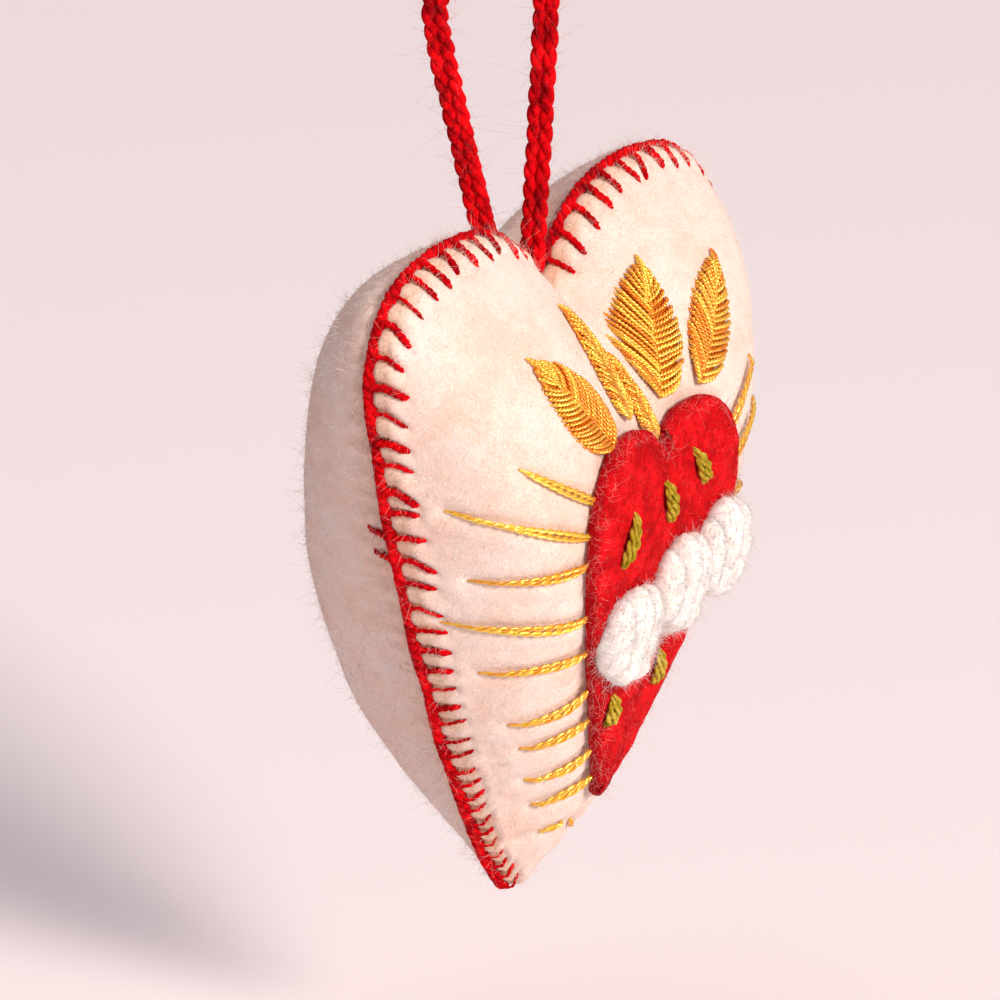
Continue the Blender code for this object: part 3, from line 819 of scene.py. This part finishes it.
def crocheted_loop(look):
    """A chain of links: two slanted lobes a link, with a bump of yarn behind them."""
    rng = default_rng(21)
    fine = smooth_route(LOOP_ROUTE, 900)
    travelled = lengths_along(fine)
    run = unit(np.gradient(fine, axis=0))
    across = unit(np.cross(run, (-0.84, -0.44, 0.31)))
    rise = np.cross(across, run)
    slow = 0.35 * np.cos(np.pi * travelled / travelled[-1])
    turned = across * np.cos(slow)[:, None] + rise * np.sin(slow)[:, None]
    toward = rise * np.cos(slow)[:, None] - across * np.sin(slow)[:, None]

    t = np.linspace(0, 1, 16)
    links = int(travelled[-1] / LINK_PITCH) + 1
    starts = (np.arange(links) - 0.25) * travelled[-1] / links
    along = starts[:, None] + (1.95 * t[None] - 0.2) * LINK_PITCH
    along = np.clip(along, 0.2 * MM, travelled[-1] - 0.2 * MM)
    columns = [np.interp(along, travelled, source[:, axis])
               for source in (fine, turned, toward) for axis in range(3)]
    point, right, up = (np.stack(columns[k:k + 3], axis=-1) for k in (0, 3, 6))
    lobe = (0.1 + 0.82 * np.sin(np.pi * t) ** 0.6,
            0.1 + 0.68 * np.sin(np.pi * np.clip(t * 1.15 - 0.05, 0, 1)) ** 0.8,
            np.interp(t, (0, 0.25, 0.6, 0.9, 1), (0.55, 1.05, 1.12, 0.75, 0.5)))
    bump = (0.8 - 1.1 * t, -(0.2 + 0.72 * np.sin(np.pi * t)),
            np.interp(t, (0, 0.3, 0.7, 1), (0.5, 1.1, 1.1, 0.5)))
    paths, tapers = [], []
    for strand in (lobe, bump):
        sway, depth, taper = strand
        for hand in (-1, 1):
            uneven = rng.uniform(0.92, 1.08, (links, 1)) if strand is lobe else np.ones((links, 1))
            aside = (hand * sway * MM) * uneven
            paths.append(point + right * aside[..., None] + up * (depth * MM)[:, None])
            tapers.append(np.tile(taper, (links, 1)))
    rings = yarn(np.concatenate(paths), np.concatenate([unit(up)] * 4), LINK_PLY, 6.5 * MM, 2, 8,
                 np.concatenate(tapers), 0.6, 0.6)
    links_mesh, _ = closed_bodies(rings, rng.random(len(rings)))
    core_path = smooth_route(LOOP_ROUTE, 120)[None]
    core_up = np.broadcast_to((0.0, -1.0, 0.05), core_path.shape)
    core = tube_rings(core_path, core_up, np.full((1, 120), CORE_RADIUS), 10)
    core_mesh, _ = closed_bodies(core, [-0.5])
    cord = joined("crocheted_loop", (links_mesh, core_mesh), look, "hanging_cord")
    centre = smooth_route(LOOP_ROUTE, 40) + TIP
    length = float(lengths_along(centre)[-1])
    return rings


# Materials


def colour(hex_code):
    """An sRGB hex value as linear light."""
    values = []
    for place in (0, 2, 4):
        share = int(hex_code[place:place + 2], 16) / 255
        values.append(share / 12.92 if share <= 0.04045 else ((share + 0.055) / 1.055) ** 2.4)
    return (*values, 1.0)


def add(tree, kind, inputs=None, **settings):
    """Adds a node. An input that is a socket is linked, any other value is set on it."""
    made = tree.nodes.new(kind)
    for key, value in settings.items():
        setattr(made, key, value)
    for key, value in (inputs or {}).items():
        if isinstance(value, bpy.types.NodeSocket):
            tree.links.new(value, made.inputs[key])
        else:
            made.inputs[key].default_value = value
    return made


def new_material(name, values):
    """A material with the given shader values, its node tree, shader and place on the piece."""
    made = bpy.data.materials.new(name)
    made.use_nodes = True
    tree = made.node_tree
    shader = tree.nodes["Principled BSDF"]
    for key, value in values.items():
        shader.inputs[key].default_value = value
    return made, tree, shader, add(tree, "ShaderNodeTexCoord").outputs["Object"]


def wool(name, deep, middle, bright, patch, fibre, bump, softness, glow, tint=None, strength=0.0):
    """Wool felt or yarn: soft patches of deeper colour, fine fibres that catch light, and a sheen.

    patch and fibre are sizes in millimetres, bump is the fibres' height. tint is a painted
    shade, blended in where the piece's mark says, by its strength.
    """
    made, tree, shader, place = new_material(name, {
        "Roughness": 0.95, "Specular IOR Level": 0.1,
        "Sheen Weight": softness, "Sheen Roughness": 0.45, "Sheen Tint": colour(bright),
        "Subsurface Weight": glow, "Subsurface Radius": (1.0, 0.55, 0.4),
        "Subsurface Scale": 1.2 * MM})
    shades = []
    for size, detail, crooked in ((5 * patch, 2.0, 0.0), (patch, 4.0, 0.4), (fibre, 3.0, 1.6)):
        shades.append(add(tree, "ShaderNodeTexNoise", {
            "Vector": place, "Scale": 1 / (size * MM), "Detail": detail, "Roughness": 0.62,
            "Distortion": crooked}))
    mixed = add(tree, "ShaderNodeMath", {0: shades[0].outputs["Fac"], 1: 0.4}, operation="MULTIPLY")
    for shade, share in ((shades[1], 0.34), (shades[2], 0.26)):
        mixed = add(tree, "ShaderNodeMath", {
            0: shade.outputs["Fac"], 1: share, 2: mixed.outputs[0]}, operation="MULTIPLY_ADD")
    ramp = add(tree, "ShaderNodeValToRGB", {"Fac": mixed.outputs[0]})
    ramp.color_ramp.elements[0].position = 0.42
    ramp.color_ramp.elements[0].color = colour(deep)
    ramp.color_ramp.elements[1].position = 0.58
    ramp.color_ramp.elements[1].color = colour(bright)
    ramp.color_ramp.elements.new(0.5).color = colour(middle)
    height = add(tree, "ShaderNodeBump", {
        "Height": shades[2].outputs["Fac"], "Distance": bump * MM, "Strength": 1.0})
    tree.links.new(height.outputs["Normal"], shader.inputs["Normal"])
    surface = ramp.outputs["Color"]
    # Painted shade: the tint is blended in by the piece's mark
    if tint:
        mark = add(tree, "ShaderNodeAttribute", attribute_name="mark")
        painted_shade_share = add(tree, "ShaderNodeMath", {0: mark.outputs["Fac"], 1: strength},
                     operation="MULTIPLY", use_clamp=True)
        surface = add(tree, "ShaderNodeMix", {0: painted_shade_share.outputs[0], 6: surface, 7: colour(tint)},
                      data_type="RGBA").outputs[2]
    tree.links.new(surface, shader.inputs["Base Color"])
    return made


def make_materials():
    """Every finish, by the name of the real material."""
    made = {
        # Pressed wool felt, cream: matt, peach patches, painted warm shade where yarn presses it
        "cream_felt": wool("cream wool felt", "f6d6c8", "f9e1d6", "fbe8e0", 2.6, 0.4, 0.28, 0.25,
                           0.22, "ffb858", 0.55),
        # Pressed wool felt, red: mottled where the fibres lie deeper, painted shade on the cut edge
        "red_felt": wool("red wool felt", "b0040e", "d40912", "f2171f", 0.8, 0.3, 0.3, 0.05, 0.1,
                         "a00012", 0.5),
        # Spun wool yarn: patches of deeper and brighter colour at random
        "red_yarn": wool("red wool yarn", "90000a", "cc000c", "f40814", 0.8, 0.2, 0.12, 0.05, 0.15),
        "white_yarn": wool("white wool yarn", "f9efeb", "fef9f7", "fffefd", 1.2, 0.25, 0.14, 0.5,
                           0.4),
        "olive_yarn": wool("olive wool yarn", "857312", "b29a2c", "d2bc56", 0.8, 0.2, 0.08, 0.15,
                           0.05)}
    # Loose wool fibres: thin enough to let light through
    for tone, deep, bright in (("cream", "f3e2d6", "fffaf4"), ("blush", "f0b8ac", "fde4da"),
                               ("pale pink", "e05a5c", "f6b4ae"), ("red", "c01020", "ec4a50")):
        made[f"{tone} fibre"] = wool(f"loose {tone} wool fibre", deep, bright, bright, 2, 0.5, 0.01,
                                     0.2, 0.3)

    # Rayon embroidery thread: filament laid parallel, so it is smooth and bright along the twist
    thread, tree, shader, place = new_material("gold rayon thread", {
        "Roughness": 0.27, "Metallic": 0.6, "Specular IOR Level": 1.0, "Coat Weight": 0.6,
        "Coat Roughness": 0.12})
    mark = add(tree, "ShaderNodeAttribute", attribute_name="mark")
    ramp = add(tree, "ShaderNodeValToRGB", {"Fac": mark.outputs["Fac"]})
    ramp.color_ramp.elements[0].color = colour("f58c00")
    ramp.color_ramp.elements[1].color = colour("ffdc52")
    tree.links.new(ramp.outputs["Color"], shader.inputs["Base Color"])
    filament = add(tree, "ShaderNodeTexNoise", {
        "Vector": place, "Scale": 1 / (0.18 * MM), "Detail": 2.0})
    height = add(tree, "ShaderNodeBump", {
        "Height": filament.outputs["Fac"], "Distance": 0.035 * MM})
    tree.links.new(height.outputs["Normal"], shader.inputs["Normal"])
    made["gold_thread"] = thread

    # Matt paper under the ornament
    made["paper"] = new_material("pale pink paper", {
        "Roughness": 0.9, "Base Color": colour("faf2f7")})[0]
    return made


# Stage, camera and light


def stage(look):
    """A wide paper floor a little below the heart's tip."""
    bm = bmesh.new()
    bmesh.ops.create_grid(bm, x_segments=1, y_segments=1, size=6.0)
    bmesh.ops.translate(bm, verts=bm.verts, vec=(0, 0, TIP[2] - FLOOR_BELOW_TIP))
    mesh = bpy.data.meshes.new("floor")
    bm.to_mesh(mesh)
    bm.free()
    mesh.materials.append(look)
    placed("floor", mesh)


def camera():
    """A long lens at the photograph's place, turned by its three angles."""
    turn, down, roll = (math.radians(angle) for angle in (VIEW_TURN, VIEW_DOWN, VIEW_ROLL))
    into = Vector((math.sin(turn) * math.cos(down), math.cos(turn) * math.cos(down),
                   -math.sin(down)))
    level = Vector((math.cos(turn), -math.sin(turn), 0))
    upright = level.cross(into)
    right = level * math.cos(roll) + upright * math.sin(roll)
    up = upright * math.cos(roll) - level * math.sin(roll)
    data = bpy.data.cameras.new("camera")
    data.lens = LENS
    data.sensor_width = 36
    data.clip_start, data.clip_end = 0.1, 60
    thing = placed("camera", data)
    turned = Matrix((right, up, -into)).transposed().to_4x4()
    thing.matrix_world = Matrix.Translation(Vector(VIEW_AIM) - into * VIEW_DISTANCE) @ turned
    bpy.context.scene.camera = thing


def area_light(name, direction, distance, size, power, tint):
    """A soft square light that faces the heart's middle from a direction."""
    data = bpy.data.lights.new(name, "AREA")
    data.shape = "SQUARE"
    data.size = size
    data.energy = power
    data.color = colour(tint)[:3]
    thing = placed(name, data)
    back = Vector(direction).normalized()
    thing.location = Vector(VIEW_AIM) + back * distance
    thing.rotation_mode = "QUATERNION"
    thing.rotation_quaternion = back.to_track_quat("Z", "Y")


def lights():
    area_light("key", (-0.34, -0.82, 0.45), 3.4, 0.9, KEY_POWER, "fff2e6")
    area_light("overhead", (0.1, 0.2, 1.0), 2.2, 2.0, OVERHEAD_POWER, "faf0f0")
    scene, world = bpy.context.scene, bpy.data.worlds.new("studio")
    scene.world = world
    world.use_nodes = True
    background = world.node_tree.nodes["Background"]
    background.inputs["Color"].default_value = colour("f2e6ea")
    background.inputs["Strength"].default_value = SURROUND_STRENGTH
    scene.view_settings.view_transform = "Standard"
    scene.view_settings.look = "None"


# Loose fibres


def around(rings, count, seed):
    """Random roots on a set of rings, with their outward directions."""
    rng = default_rng(seed)
    centre = rings.mean(axis=2)
    body = rng.integers(0, rings.shape[0], count)
    step = rng.integers(1, rings.shape[1] - 1, count)
    spots = rings[body, step, rng.integers(0, rings.shape[2], count)]
    return spots, unit(spots - centre[body, step])


def felt_fuzz(made, front_cloth, back_cloth):
    """Short nap on both sides and longer fibres, pulled out by the needle, beside the seam."""
    rng = default_rng(5)
    for word, cloth, count, longest in (("front", front_cloth, FRONT_NAP, 1.6),
                                        ("back", back_cloth, BACK_NAP, 3.2)):
        high = cloth.grid[..., 2] > CLEFT_HEIGHT * HEART_HEIGHT
        clear = 1 - np.exp(-(cloth.grid[..., 0] / (7 * MM)) ** 2) * high
        roots, outs = cloth.scatter(count, 31, clear * (1 - cloth.groove))
        fibres(f"{word}_nap", roots, outs, rng, 0.5, longest, made["cream fibre"],
               32, lie=1.1)
        beside = np.exp(-(cloth.depth / (2.6 * MM)) ** 2) * (1 - cloth.groove) ** 4 * clear
        roots, outs = cloth.scatter(SEAM_FIBRES, 33, beside)
        fibres(f"{word}_seam_fibres", roots, outs, rng, 0.45, 2.2, made["blush fibre"],
               34, 0.04, 0.7, 1.2, 4)


def yarn_fuzz(made, ridge, cord_rings, rose_rings):
    """Fine hairs on the stitching, the cord and the roses."""
    rng = default_rng(6)
    spots, outs = around(cord_rings, CORD_FIBRES, 51)
    fibres("cord_fibres", spots, outs, rng, 0.6, 3.2, made["red fibre"], 52, 0.035,
           curl=1.7, steps=5)
    for word, tone, longest, back in (("red", "red fibre", 2.0, 0.0),
                                      ("pale", "blush fibre", 3.2, 1.1)):
        at = rng.integers(40, len(ridge) - 40, EDGE_FIBRES)
        away = unit(unit(rng.normal(size=(EDGE_FIBRES, 3))) + np.array((0, back, 0)))
        fibres(f"edge_{word}_fibres", ridge[at] + away * 0.7 * MM, away, rng, 0.5, longest,
               made[tone], 54, 0.035, 0.8, 1.4, 4)
    for number, rings in enumerate(rose_rings, 1):
        spots, outs = around(rings, ROSE_FIBRES, 70 + number)
        fibres(f"rose_fibres_{number}", spots, outs, rng, 0.7, 1.6, made["white_yarn"],
               80 + number, 0.055, 1.2, 0.9)


def applique_fuzz(made, grid):
    """Pale curly fibres on the small heart's edge and short red ones on its face."""
    rng = default_rng(7)
    count = APPLIQUE_EDGE_FIBRES
    spots = grid[rng.integers(2, 9, count), rng.integers(0, grid.shape[1], count)]
    away = unit(spots - grid.mean(axis=(0, 1)) + np.array((0, -6 * MM, 0)))
    fibres("applique_edge_fibres", spots, away, rng, 0.5, 2.4, made["pale pink fibre"],
           56, 0.035, 1.4, 1.4, 4)
    count = APPLIQUE_FACE_FIBRES
    spots = grid[rng.integers(9, len(grid), count), rng.integers(0, grid.shape[1], count)]
    fibres("applique_face_fibres", spots, np.tile((0.0, -1.0, 0.2), (count, 1)), rng, 0.3, 1.5,
           made["red fibre"], 58, 0.04, 1.6, 1.0)


# Assembly


def nodes_of(kind):
    """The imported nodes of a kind, in order of name."""
    return sorted(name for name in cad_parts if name.startswith(kind))


def dress(made):
    """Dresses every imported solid, then adds the loose fibres."""
    front = Side(-1, "felt_front", 0.325 * HEART_HEIGHT, 3.76, 1.0, 1.58, 0.428)
    back = Side(1, "felt_back", 0.647 * HEART_HEIGHT, 4.96, 0.7, 2.02, -0.391)
    stitches = Stitches(3)
    rays, leaves = nodes_of("gold_ray"), nodes_of("gold_leaf")
    ray_lines = [middle_line(node, front) for node in rays]
    leaf_lines = [middle_line(node, front) for node in leaves]
    edge = applique_outline(20)
    edge_line = front.on_face(*edge.T)

    def front_dents(grid):
        to_ray = distance_to_lines(grid, ray_lines)
        to_leaf = distance_to_lines(grid, leaf_lines)
        to_edge = distance_to_lines(grid, [edge_line])
        return (-0.5 * MM * np.exp(-(to_ray / (1.1 * MM)) ** 2)
                + 0.16 * MM * np.exp(-((to_ray - 2.6 * MM) / (1.6 * MM)) ** 2)
                - 0.35 * MM * np.exp(-(to_leaf / (3.2 * MM)) ** 2)
                - 0.5 * MM * np.exp(-(to_edge / (1.3 * MM)) ** 2))

    front_cloth = Cloth(front, stitches, 1.0, front_dents)
    back_cloth = Cloth(back, stitches, 0.25, lambda grid: np.zeros(grid.shape[:-1]))
    felt_side("felt_front", front_cloth, made["cream_felt"])
    felt_side("felt_back", back_cloth, made["cream_felt"])
    ridge = edge_stitching(front_cloth, back_cloth, stitches, made["red_yarn"])
    applique_grid = felt_applique(front, made["red_felt"])
    for number, node in enumerate(leaves):
        gold_leaf(node, front, made["gold_thread"], 40 + number)
    for number, node in enumerate(rays):
        gold_ray(node, front, made["gold_thread"], 60 + number)
    rose_rings = [white_rose(node, front, made["white_yarn"], 90 + number)
                  for number, node in enumerate(nodes_of("white_rose"))]
    for number, node in enumerate(nodes_of("green_leaf")):
        green_leaf(node, front, made["olive_yarn"], 100 + number)
    cord_rings = crocheted_loop(made["red_yarn"])
    felt_fuzz(made, front_cloth, back_cloth)
    yarn_fuzz(made, ridge, cord_rings, rose_rings)
    applique_fuzz(made, applique_grid)


camera()
lights()
materials = make_materials()
stage(materials["paper"])
dress(materials)
